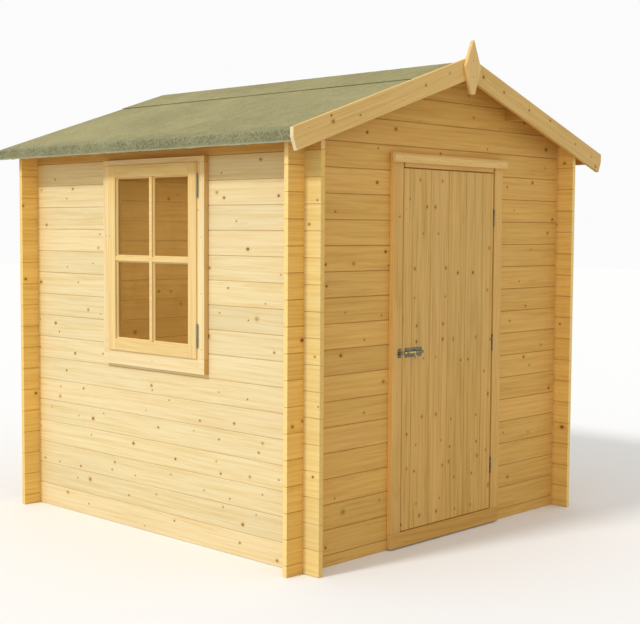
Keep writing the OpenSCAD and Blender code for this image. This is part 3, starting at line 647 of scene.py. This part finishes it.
def fix(name, body, head, finish, places, seed):
    """Drives heads in at places, each a point and the way that it faces."""
    mesh = bpy.data.meshes.new(name)
    mesh.from_pydata([point for point, _ in places], [], [])
    facing = mesh.attributes.new("facing", "FLOAT_VECTOR", "POINT")
    facing.data.foreach_set("vector", [part for _, way in places for part in way])
    piece = linked(name, mesh)
    head.materials.clear()
    head.materials.append(finish.material)
    pattern_head = bpy.data.objects.new(name + "_head", head)
    fixings.make(piece, head=pattern_head, finish=finish.material, least=0.94, seed=seed)
    bpy.data.objects.remove(pattern_head)
    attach(piece, body)


zinc = Finish("zinc", metallic=1.0)
zinc_place = zinc.place()
crystal = zinc.node("TexVoronoi", values={"Vector": zinc_place, "Scale": 260.0}, output="Color")
spangle, zinc_dull = zinc.part(crystal, "Red"), zinc.clouds(zinc_place, 60.0, 4.0)
zinc.feed(base_color=zinc.mix((spangle * 0.6 + zinc_dull * 0.8).rise(0.3, 1.1),
                              (0.20, 0.18, 0.125, 1), (0.38, 0.345, 0.24, 1)),
          roughness=0.46 + spangle * 0.14 + zinc_dull * 0.15)
zinc.bump(zinc_dull, 0.0002)

clout = bmesh.new()
turned(clout, ((0, -0.0008), (0.0048, -0.0008), (0.0048, 0.0004), (0.004, 0.0008), (0, 0.0009)), 12)
clout_head = closed("clout_nail", clout)
nail_step = 0.098
down_run = int(verge_run / nail_step)
back_nail_count = 11
down_fold = 0.55  # how far down the fold the nails are, as a share of it
lap_x = strip_reach - 0.018
clouts = []
for side in (-1, 1):
    for j in range(down_run):
        y = verge_front + verge_run * (j + 0.5) / down_run
        clouts.append(((side * (eave_x + fold_stand(y, down_fold, side)), y,
                        eave_top - down_fold * felt_fold), (side, 0, 0)))
        clouts.append(((side * lap_x, y, strip_high.z - lap_x * roof_slope + 0.0004),
                       (side * math.sin(roof_pitch), 0, math.cos(roof_pitch))))
    for j in range(back_nail_count):
        x = eave_x * (j + 0.6) / (back_nail_count + 0.2)
        clouts.append(((side * x, verge_back + 0.0007,
                        felt_high.z - x * roof_slope - felt_fold * down_fold), (0, 1, 0)))
fix("felt_nails", "cabin", clout_head, zinc, clouts, 3)


# ---- Barge boards and finial ----
# Planed boards, nailed to the purlins and battens, close the front verge. Their
# feet are cut plumb and clipped. A diamond board is screwed over their joint.

def eased(node, finish, edge=0.0015, body="cabin", upright=None):
    """One of the frame's timbers with its edges rubbed down. upright is the finish
    of those of its timbers that stand, where both kinds are in one node."""
    work = bmesh.new()
    work.from_mesh(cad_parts[node].data)
    bmesh.ops.remove_doubles(work, verts=work.verts, dist=1e-5)
    bmesh.ops.dissolve_limit(work, angle_limit=math.radians(1), verts=work.verts, edges=work.edges)
    if upright:
        left = set(work.faces)
        while left:
            part, queue = [], [left.pop()]
            while queue:
                face = queue.pop()
                part.append(face)
                near = {other for line in face.edges for other in line.link_faces} & left
                left -= near
                queue += near
            points = [vert.co for face in part for vert in face.verts]
            spans = [max(p[k] for p in points) - min(p[k] for p in points) for k in range(3)]
            for face in part:
                face.material_index = int(spans[2] == max(spans))
    sharp = [line for line in work.edges
             if len(line.link_faces) == 2 and line.calc_face_angle() > math.radians(25)]
    bmesh.ops.bevel(work, geom=sharp, offset=edge, segments=2, profile=0.6, affect="EDGES",
                    clamp_overlap=True)
    mesh = drawn(node + "_eased", work)
    stale = mesh.attributes.get("custom_normal")
    if stale:
        mesh.attributes.remove(stale)
    mesh.materials.clear()
    piece = linked(node + "_eased", mesh, *([finish, upright] if upright else [finish]))
    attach(piece, body)
    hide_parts(node)
    return piece


trim_pale, trim_ripe = (0.80, 0.53, 0.19), (0.64, 0.38, 0.10)
trim_cut = (0.96, 0.82, 0.55)
barge_depth = 0.103
barge_width = barge_depth * math.cos(roof_pitch)
barge_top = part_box("barge_right")[1].z
barge_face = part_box("barge_right")[0].y
for hand, side in (("left", -1), ("right", 1)):
    # Painted light: the left board's timber is a paler copy of the right one's.
    painted_light_lift = (1.0, 1.12)[side < 0]
    barge_wood = softwood(
        f"barge_wood_{hand}", "xzy", [channel * painted_light_lift for channel in trim_pale],
        [channel * painted_light_lift for channel in trim_ripe], barge_width,
        start=barge_top * math.cos(roof_pitch) - barge_width, face=-barge_face,
        turn=-side * roof_pitch, knots=0.85, knot_size=(0.0035, 0.0075), cut=trim_cut, seed=41 + side)
    eased(f"barge_{hand}", barge_wood, 0.002)
finial_wood = softwood(
    "finial_wood", "zxy", (0.91, 0.62, 0.245), (0.73, 0.45, 0.135), 0.2, start=-0.1, face=-barge_face,
    knots=0, cut=trim_cut, seed=47)
finial = eased("finial", finial_wood, 0.0025)
finial_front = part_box("finial")[0].y + 0.0005
for vert in finial.data.vertices:  # its face is planed back so that the screws lie within the whole
    vert.co.y = max(vert.co.y, finial_front)


def metal(name, scale, detail, limits, dull, bright, smooth, rough, depth=0.0):
    """Metal that is dull and bright in patches, and pitted where depth is given."""
    finish = Finish(name, metallic=1.0)
    patches = finish.clouds(finish.place(), scale, detail)
    finish.feed(base_color=finish.mix(patches.rise(*limits), (*dull, 1), (*bright, 1)),
                roughness=smooth + patches * rough)
    if depth:
        finish.bump(patches, depth)
    return finish


bright_nails = metal("bright_nails", 300.0, 3.0, (0.42, 0.62), (0.24, 0.18, 0.11), (0.38, 0.34, 0.26),
                     0.35, 0.3)
nail = bmesh.new()
turned(nail, ((0, -0.0006), (0.0024, -0.0006), (0.0024, 0.0001), (0.0017, 0.0005), (0, 0.0006)), 10)
nail_head = closed("wire_nail", nail)
nailed_at = (0.085, 0.492, 1.085)  # beside the ridge purlin, on a side purlin, on a batten
barge_nails = [((side * x, barge_face, barge_top - x * roof_slope - barge_depth / 2 + aside), (0, -1, 0))
               for side in (-1, 1) for x in nailed_at for aside in (-0.022, 0.022)]
fix("barge_nails", "cabin", nail_head, bright_nails, barge_nails, 5)


def screw_head(radius, dome=0.0003):
    """A head with a cross recess that stands as high as its dome over the face."""
    arm, half = radius * 0.58, radius * 0.14
    cross = []
    for k in range(4):
        turn = Matrix.Rotation(k * math.pi / 2, 2)
        cross += [turn @ Vector(corner) for corner in ((arm, -half), (arm, half), (half, half))]
    rim = [corner.normalized() * radius for corner in cross]
    levels = ((rim, 1, -0.0009), (rim, 1, 0.0), (rim, 0.9, dome * 0.7), (cross, 1, dome),
              (cross, 0.7, dome - 0.001))
    rings = [[(x * share, y * share, height) for x, y in ring] for ring, share, height in levels]
    work = bmesh.new()
    loft(work, [[(0, 0, -0.0009)], *rings, [(0, 0, dome - 0.0011)]])
    return closed("cross_screw", work)


wood_screw = screw_head(0.0042)
finial_low, finial_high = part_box("finial")
fix("finial_screws", "cabin", wood_screw, zinc,
    [((0, finial_front, (finial_low.z + finial_high.z) / 2 + rise), (0, -1, 0))
     for rise in (-0.045, 0.03)], 7)


# ---- Window frame and sash ----
# A planed frame with a deep sill closes the cut logs. The sash stands a little
# proud of it, with its rails between the stiles and one bar each way.

# Painted light: the frame's and sash's tones are pale copies of their timber, like the window wall's logs,
# as they look in sun.
frame_tones = (0.95, 0.765, 0.44), (0.83, 0.59, 0.24)
sash_tones = (0.91, 0.68, 0.305), (0.78, 0.50, 0.15)
window_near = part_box("window_frame_stiles")[0].y
window_woods = []
for name, axes, tones, width, start, seed in (
        ("window_sill_wood", "yzx", frame_tones, 0.45, -0.1, 53),
        ("window_jamb_wood", "zyx", frame_tones, 0.35, -0.189, 59),
        ("sash_rail_wood", "yzx", sash_tones, 0.45, -0.1, 55),
        ("sash_stile_wood", "zyx", sash_tones, 0.35, -0.189, 61)):
    wood = softwood(
        name, axes, *tones, width, start=start, knots=0.2, knot_size=(0.002, 0.004), seed=seed)
    # Painted shade under the eaves, as on the logs.
    paint_eaves_shade(wood)
    if tones is frame_tones:
        # Painted shade: the frame's side faces towards the front are darkened.
        tint(wood, spot(wood)[1].rise(window_near + 0.003, window_near + 0.001), 0.76, 0.64, 0.48)
    window_woods.append(wood)
frame_lying, frame_standing, sash_lying, sash_standing = window_woods
eased("window_frame_sill", frame_lying)
eased("window_frame_head", frame_lying)
eased("window_frame_stiles", frame_standing)
eased("sash_rails", sash_lying, edge=0.002)
eased("sash_stiles", sash_standing, edge=0.002)
eased("window_bars", sash_lying, edge=0.004, upright=sash_standing)

sill_low, sill_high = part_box("window_frame_sill")
stiles_low, stiles_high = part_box("window_frame_stiles")
window_nails = [((sill_low.x, y, (sill_low.z + sill_high.z) / 2), (-1, 0, 0))
                for y in (sill_low.y + 0.05, (sill_low.y + sill_high.y) / 2, sill_high.y - 0.05)]
half_stile = 0.0245
window_nails += [((sill_low.x, y, z), (-1, 0, 0))
                 for y in (stiles_low.y + half_stile, stiles_high.y - half_stile)
                 for z in (0.93, 1.19, 1.45, 1.71)]
fix("window_nails", "cabin", nail_head, bright_nails, window_nails, 9)


# ---- Window glass and beads ----
# Four panes of slightly smeared glass are bedded in the sash, each held in front
# by four planed beads that are mitred at the corners and pinned.

# Painted shade: the glass is given a dark brown tone that stands in for the dim room seen through it.
glass = Finish("window_glass", base_color=(0.19, 0.12, 0.008, 1), specular_ior_level=0.08)
smear = glass.clouds(glass.place(), 9.0, 3.0)
glass.feed(roughness=0.01 + smear * 0.05, alpha=0.24 + smear * 0.12)
dress(glass, "window_glass")
glass_low, glass_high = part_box("window_glass")
light_y, light_z = (glass_low.y + glass_high.y) / 2, (glass_low.z + glass_high.z) / 2
half_bar = 0.0113
bead_profile = ((0, 0), (0.007, 0), (0.007, 0.0015), (0.0055, 0.0048), (0.0032, 0.0072), (0.001, 0.0085),
                (0, 0.0085), (0, 0))
beads = bmesh.new()
pins = []
for left, right in ((glass_low.y, light_y - half_bar), (light_y + half_bar, glass_high.y)):
    for foot, head in ((glass_low.z, light_z - half_bar), (light_z + half_bar, glass_high.z)):
        loft(beads, [[(glass_low.x - 0.0002 - stand, y, z) for y, z in (
            (left + inset, foot + inset), (right - inset, foot + inset),
            (right - inset, head - inset), (left + inset, head - inset))] for inset, stand in bead_profile])
        across, up = (left + right) / 2, (foot + head) / 2
        pins += [((glass_low.x - 0.0063, y, z), (-1, dy, dz)) for y, z, dy, dz in (
            (left + 0.0046, up, 0.9, 0), (right - 0.0046, up, -0.9, 0),
            (across, foot + 0.0046, 0, 0.9), (across, head - 0.0046, 0, -0.9))]
bead_mesh = closed("glazing_beads", beads)
for face in bead_mesh.polygons:
    spans = [max(bead_mesh.vertices[v].co[k] for v in face.vertices)
             - min(bead_mesh.vertices[v].co[k] for v in face.vertices) for k in (1, 2)]
    face.material_index = int(spans[1] > spans[0])
glazing = linked("glazing_beads", bead_mesh, sash_lying, sash_standing)
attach(glazing, "cabin")
pin = bmesh.new()
turned(pin, ((0, -0.0004), (0.0009, -0.0004), (0.0009, 0.0001), (0, 0.0003)), 8)
fix("bead_pins", "cabin", closed("bead_pin", pin), bright_nails, pins, 11)


# ---- Window hinges ----
# The sash hangs on two slim hinges of zinc-plated steel. Each is a row of rolled
# knuckles on a pin whose ends are riveted over.

def metalwork(name, work, finish, body, node=None):
    """A smooth piece of metal from what was drawn, in place of a node if one is named."""
    piece = linked(name, closed(name, work, smooth=35), finish)
    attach(piece, body)
    if node:
        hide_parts(node)


hinges_low, hinges_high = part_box("window_hinges")
hinge_radius = (hinges_high.x - hinges_low.x) / 2
sash_hinges = bmesh.new()
knuckle_count, sash_hinge_height, ease, gap = 5, 0.110, 0.0005, 0.0004
for foot in (hinges_low.z, hinges_high.z - sash_hinge_height):
    knuckle = sash_hinge_height / knuckle_count
    centre = Matrix.Translation((hinges_low.x + hinge_radius, hinges_low.y + hinge_radius, foot))
    for k in range(knuckle_count):
        base, top = k * knuckle + gap, (k + 1) * knuckle - gap
        turned(sash_hinges, ((0, base), (hinge_radius - ease, base), (hinge_radius, base + ease),
                             (hinge_radius, top - ease), (hinge_radius - ease, top), (0, top)), 28, centre)
    turned(sash_hinges, ((0, -0.0016), (0.0018, -0.0014), (0.0027, -0.0004),
                         (0.0027, sash_hinge_height + 0.0004), (0.0018, sash_hinge_height + 0.0014),
                         (0, sash_hinge_height + 0.0016)), 20, centre)
metalwork("sash_hinges", sash_hinges, zinc, "cabin", "window_hinges")


# ---- Door frame ----
# Two jambs, a head and a sill are nailed over the cut logs, and a bevelled rail
# over the head throws the rain clear of the door.

door_pale, door_ripe = (0.79, 0.48, 0.145), (0.62, 0.34, 0.08)
door_standing = softwood(
    "door_jamb_wood", "zxy", door_pale, door_ripe, 0.5, start=-0.5, knots=0.3, seed=61)
door_lying = softwood(
    "door_rail_wood", "xzy", door_pale, door_ripe, 0.5, start=-0.1, knots=0.3, seed=67)
lit_jamb_side = -0.42  # the left jamb's outer side carries painted light: it is brightened as if sunlit
tint(door_standing, spot(door_standing)[0].rise(lit_jamb_side + 0.0005, lit_jamb_side - 0.0005), 1.32, 1.42, 1.5)
eased("door_jamb_left", door_standing)
eased("door_jamb_right", door_standing)
eased("door_head", door_lying)
eased("door_sill", softwood("door_sill_wood", "xzy", (0.77, 0.44, 0.11), (0.60, 0.31, 0.06), 0.5,
                            start=-0.1, knots=0.3, seed=69))
drip_wood = softwood(
    "drip_rail_wood", "xzy", (0.86, 0.57, 0.205), (0.68, 0.41, 0.11), 0.5, start=-0.1, knots=0.2,
    cut=trim_cut, seed=71)
eased("door_drip_rail", drip_wood, 0.002)

frame_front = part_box("door_jamb_left")[0].y
rail_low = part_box("door_drip_rail")[0]
jamb_low, jamb_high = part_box("door_jamb_right")
rebate = 0.012
jamb_middle = (jamb_low.x + rebate + jamb_high.x) / 2
frame_nails = [((x, rail_low.y, rail_low.z + 0.017), (0, -1, 0)) for x in (-0.37, -0.125, 0.125, 0.37)]
frame_nails += [((side * jamb_middle, frame_front, z), (0, -1, 0))
                for side in (-1, 1) for z in (0.045, 0.33, 0.72, 1.12, 1.55)]
frame_nails += [((x, frame_front, 0.042), (0, -1, 0)) for x in (-0.12, 0.12)]
fix("door_frame_nails", "cabin", nail_head, bright_nails, frame_nails, 13)


# ---- Door leaf ----
# Upright boards with bevelled edges are nailed to two ledges and a brace. Each
# board has two nails to a ledge and, where the brace passes behind it, one more.

leaf_low, leaf_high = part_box("door_boards")
first_board, door_board_cover = 0.062, 0.136
leaf_wood = softwood(
    "door_board_wood", "zxy", (0.755, 0.47, 0.145), (0.57, 0.325, 0.085), door_board_cover,
    start=leaf_low.x + first_board, face=-leaf_low.y, joint=0.15, knots=0.62,
    knot_size=(0.003, 0.0075), stretches=(0.14, 0.4), matched=True, contrast=1.7, seed=73)
tint(leaf_wood, spot(leaf_wood)[2].rise(1.1, 0.5), 0.99, 0.965, 0.87)
dress(leaf_wood, "door_boards")
ledges_low, ledges_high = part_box("door_ledges")
ledge_wood = softwood("ledge_wood", "xzy", purlin_pale, purlin_ripe, 0.3, seed=79)
eased("door_ledges", ledge_wood, body="door")

joints = [leaf_low.x, *(leaf_low.x + first_board + k * door_board_cover for k in range(5)), leaf_high.x]
ledge_width = 0.09
low_ledge, high_ledge = ledges_low.z + ledge_width / 2, ledges_high.z - ledge_width / 2
leaf_nails, stagger = [], 0.018
for left, right in zip(joints, joints[1:]):
    middle, aside = (left + right) / 2, (right - left) * 0.26
    for z in (low_ledge, high_ledge):
        leaf_nails += [((middle - aside, leaf_low.y, z + stagger), (0, -1, 0)),
                       ((middle + aside, leaf_low.y, z - stagger), (0, -1, 0))]
    brace_foot, brace_head = ledges_high.x - ledge_width, ledges_low.x + ledge_width
    climb = (middle - brace_foot) / (brace_head - brace_foot)
    if 0 < climb < 1:
        leaf_nails.append(((middle, leaf_low.y, low_ledge + climb * (high_ledge - low_ledge)), (0, -1, 0)))
fix("door_leaf_nails", "door", nail_head, bright_nails, leaf_nails, 17)


# ---- Door hinges ----
# Three dull steel butt hinges carry the door, each screwed to the jamb and to the
# leaf's edge, on a pin with small domed ends.

steel = metal("dull_steel", 90.0, 4.0, (0.35, 0.7), (0.11, 0.085, 0.05), (0.25, 0.205, 0.13),
              0.38, 0.3, 0.0002)
dress(steel, "frame_hinges", "leaf_hinges")

butts_low, butts_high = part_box("frame_hinges")
door_pin, butt_height = 0.35, 0.08
butt_feet = [butts_low.z + k * (butts_high.z - butt_height - butts_low.z) / 2 for k in range(3)]
tips = bmesh.new()
for foot in butt_feet:
    for start, way in ((foot, -1), (foot + butt_height, 1)):
        turned(tips, ((0, 0), (0.0031, 0), (0.0031, way * 0.0008), (0.0021, way * 0.0021),
                      (0, way * 0.0026)), 20, Matrix.Translation((door_pin, frame_front, start)))
metalwork("hinge_pin_tips", tips, steel, "cabin")
hinge_screw = screw_head(0.0034)
plate_faces = ((-1, "cabin", "frame_hinge_screws", door_pin + 0.0027),
               (1, "door", "leaf_hinge_screws", door_pin - 0.0027))
for way, body, name, x in plate_faces:
    fix(name, body, hinge_screw, steel,
        [((x, frame_front + 0.0108, foot + rise), (way, 0, 0))
         for foot in butt_feet for rise in (0.012, 0.040, 0.068)], 19)


# ---- Bolt ----
# A pressed plate on the leaf carries two straps that the rod slides in, with a
# brass knob that hangs from it. A third strap on the jamb keeps the rod.

bolt_steel = metal("bolt_steel", 210.0, 5.0, (0.36, 0.68), (0.10, 0.093, 0.055), (0.31, 0.295, 0.20),
                   0.32, 0.25, 0.0002)
brass = metal("bolt_brass", 70.0, 4.0, (0.35, 0.7), (0.50, 0.37, 0.14), (0.83, 0.68, 0.36),
              0.24, 0.25, 0.0002)

plate_low, plate_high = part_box("bolt_guide")
keep_low, keep_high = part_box("bolt_keep")
rod_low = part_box("bolt_rod")[0]
bolt_z = (plate_low.z + plate_high.z) / 2
plate_back, plate_thickness = plate_high.y, 0.0015
plate_front = plate_back - plate_thickness
rod_radius, rod_stand = 0.005, 0.007  # rod_stand is from the plate's face to the rod's middle
rod_y = plate_front - rod_stand
strap_step, first_strap, knob_run = 0.002, 0.014, 0.042
knob_x = plate_low.x + strap_step + first_strap + knob_run
second_strap = knob_x + 0.012
screw_rises = (-0.0172, 0.0172)


def back_plate(work, left, right):
    """A pressed plate with round corners, from back to front."""
    corner, edge = 0.004, 0.0004
    low, high = plate_low.z + corner, plate_high.z - corner
    centres = ((right - corner, high), (left + corner, high), (left + corner, low), (right - corner, low))
    rings = [[((left + right) / 2, plate_back, bolt_z)]]
    for y, inset in ((plate_back, 0), (plate_front + edge, 0), (plate_front, edge)):
        ring = []
        for k, (x, z) in enumerate(centres):
            for step in range(6):
                angle = (k + step / 5) * math.pi / 2
                ring.append((x + (corner - inset) * math.cos(angle), y,
                             z + (corner - inset) * math.sin(angle)))
        rings.append(ring)
    loft(work, rings + [[((left + right) / 2, plate_front, bolt_z)]])


def strap(work, left, right, fit):
    """A strip of metal bent over the rod, with a foot on each side."""
    inner, outer, foot, sheet = rod_radius + fit, rod_radius + fit + 0.002, 0.0125, 0.0016
    arc = [math.pi * step / 12 for step in range(13)]
    outline = [(-foot, 0), (-foot, sheet), (-outer, sheet)]
    outline += [(-outer * math.cos(angle), rod_stand + outer * math.sin(angle)) for angle in arc]
    outline += [(outer, sheet), (foot, sheet), (foot, 0), (inner, 0)]
    outline += [(inner * math.cos(angle), rod_stand + inner * math.sin(angle)) for angle in arc]
    outline += [(-inner, 0)]
    sides = [[work.verts.new((x, plate_front - stand, bolt_z + aside)) for aside, stand in outline]
             for x in (left, right)]
    faces = [work.faces.new(sides[0]), work.faces.new(sides[1][::-1])]
    faces += [work.faces.new((sides[0][k - 1], sides[1][k - 1], sides[1][k], sides[0][k]))
              for k in range(len(outline))]
    bmesh.ops.recalc_face_normals(work, faces=faces)
    sharp = {line for face in faces for line in face.edges if line.calc_face_angle() > math.radians(40)}
    bmesh.ops.bevel(work, geom=list(sharp), offset=0.00035, segments=2, profile=0.6, affect="EDGES",
                    clamp_overlap=True)


plate_work = bmesh.new()
back_plate(plate_work, plate_low.x, plate_high.x)
strap(plate_work, plate_low.x + strap_step, plate_low.x + strap_step + first_strap, 0.0002)
strap(plate_work, second_strap, plate_high.x - strap_step, 0.0002)
keep_work = bmesh.new()
back_plate(keep_work, keep_low.x, keep_high.x)
strap(keep_work, keep_low.x + strap_step, keep_high.x - strap_step, 0.001)
rod_work = bmesh.new()
rod_length = 0.130
rod_place = Matrix.Translation((rod_low.x, rod_y, bolt_z)) @ Matrix.Rotation(math.pi / 2, 4, "Y")
turned(rod_work, ((0, 0), (0.0036, 0), (0.0044, 0.0004), (0.005, 0.0014), (0.005, rod_length - 0.001),
                  (0.004, rod_length), (0, rod_length)), 36, rod_place)
knob_place = Matrix.Translation((knob_x, rod_y, bolt_z)) @ Matrix.Rotation(math.radians(150), 4, "X")
turned(rod_work, ((0, 0.003), (0.0028, 0.003), (0.0028, 0.0102), (0.0044, 0.0106), (0.0050, 0.0116),
                  (0.0044, 0.0126), (0.0038, 0.0134), (0.0040, 0.0170), (0.0050, 0.0225),
                  (0.0059, 0.0268), (0.0059, 0.0290), (0.0050, 0.0308), (0.0030, 0.0318),
                  (0, 0.0320)), 32, knob_place)
metalwork("bolt_plate_and_straps", plate_work, bolt_steel, "door", "bolt_guide")
metalwork("bolt_keep_and_strap", keep_work, bolt_steel, "cabin", "bolt_keep")
metalwork("bolt_rod_and_knob", rod_work, brass, "bolt", "bolt_rod")

bolt_screw = screw_head(0.0033, 0.001)
fix("bolt_plate_screws", "door", bolt_screw, steel,
    [((x, plate_front, bolt_z + rise), (0, -1, 0))
     for x in (plate_low.x + 0.008, knob_x, plate_high.x - 0.008) for rise in screw_rises], 23)
fix("bolt_keep_screws", "cabin", bolt_screw, steel,
    [(((keep_low.x + keep_high.x) / 2, plate_front, bolt_z + rise), (0, -1, 0))
     for rise in screw_rises], 29)


# ---- Floor ----
# Tongued boards are nailed to five bearers that lie on the ground between the
# walls, two nails to a board at each bearer.

boards_low, boards_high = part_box("floor_boards")
floor_board_count = 17
floor_board_pitch = (boards_high.x - boards_low.x) / floor_board_count
floor_wood = softwood(
    "floor_board_wood", "yxz", (0.82, 0.56, 0.24), (0.64, 0.39, 0.12), floor_board_pitch,
    start=boards_low.x, face=boards_high.z, joint=0.8, groove=0.0015, seed=83)
dress(floor_wood, "floor_boards")
dress(softwood("bearer_wood", "xyz", purlin_pale, purlin_ripe, 0.4, start=-0.2, seed=89),
      "floor_bearers")
bearer_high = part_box("floor_bearers")[1]
bearer_reach = bearer_high.y - 0.022
floor_nails = [((boards_low.x + (k + 0.5) * floor_board_pitch + aside, bearer_reach * place, boards_high.z),
                (0, 0, 1)) for k in range(floor_board_count) for aside in (-0.032, 0.032)
               for place in (-0.985, -0.5, 0, 0.5, 0.985)]
fix("floor_nails", "cabin", nail_head, bright_nails, floor_nails, 31)
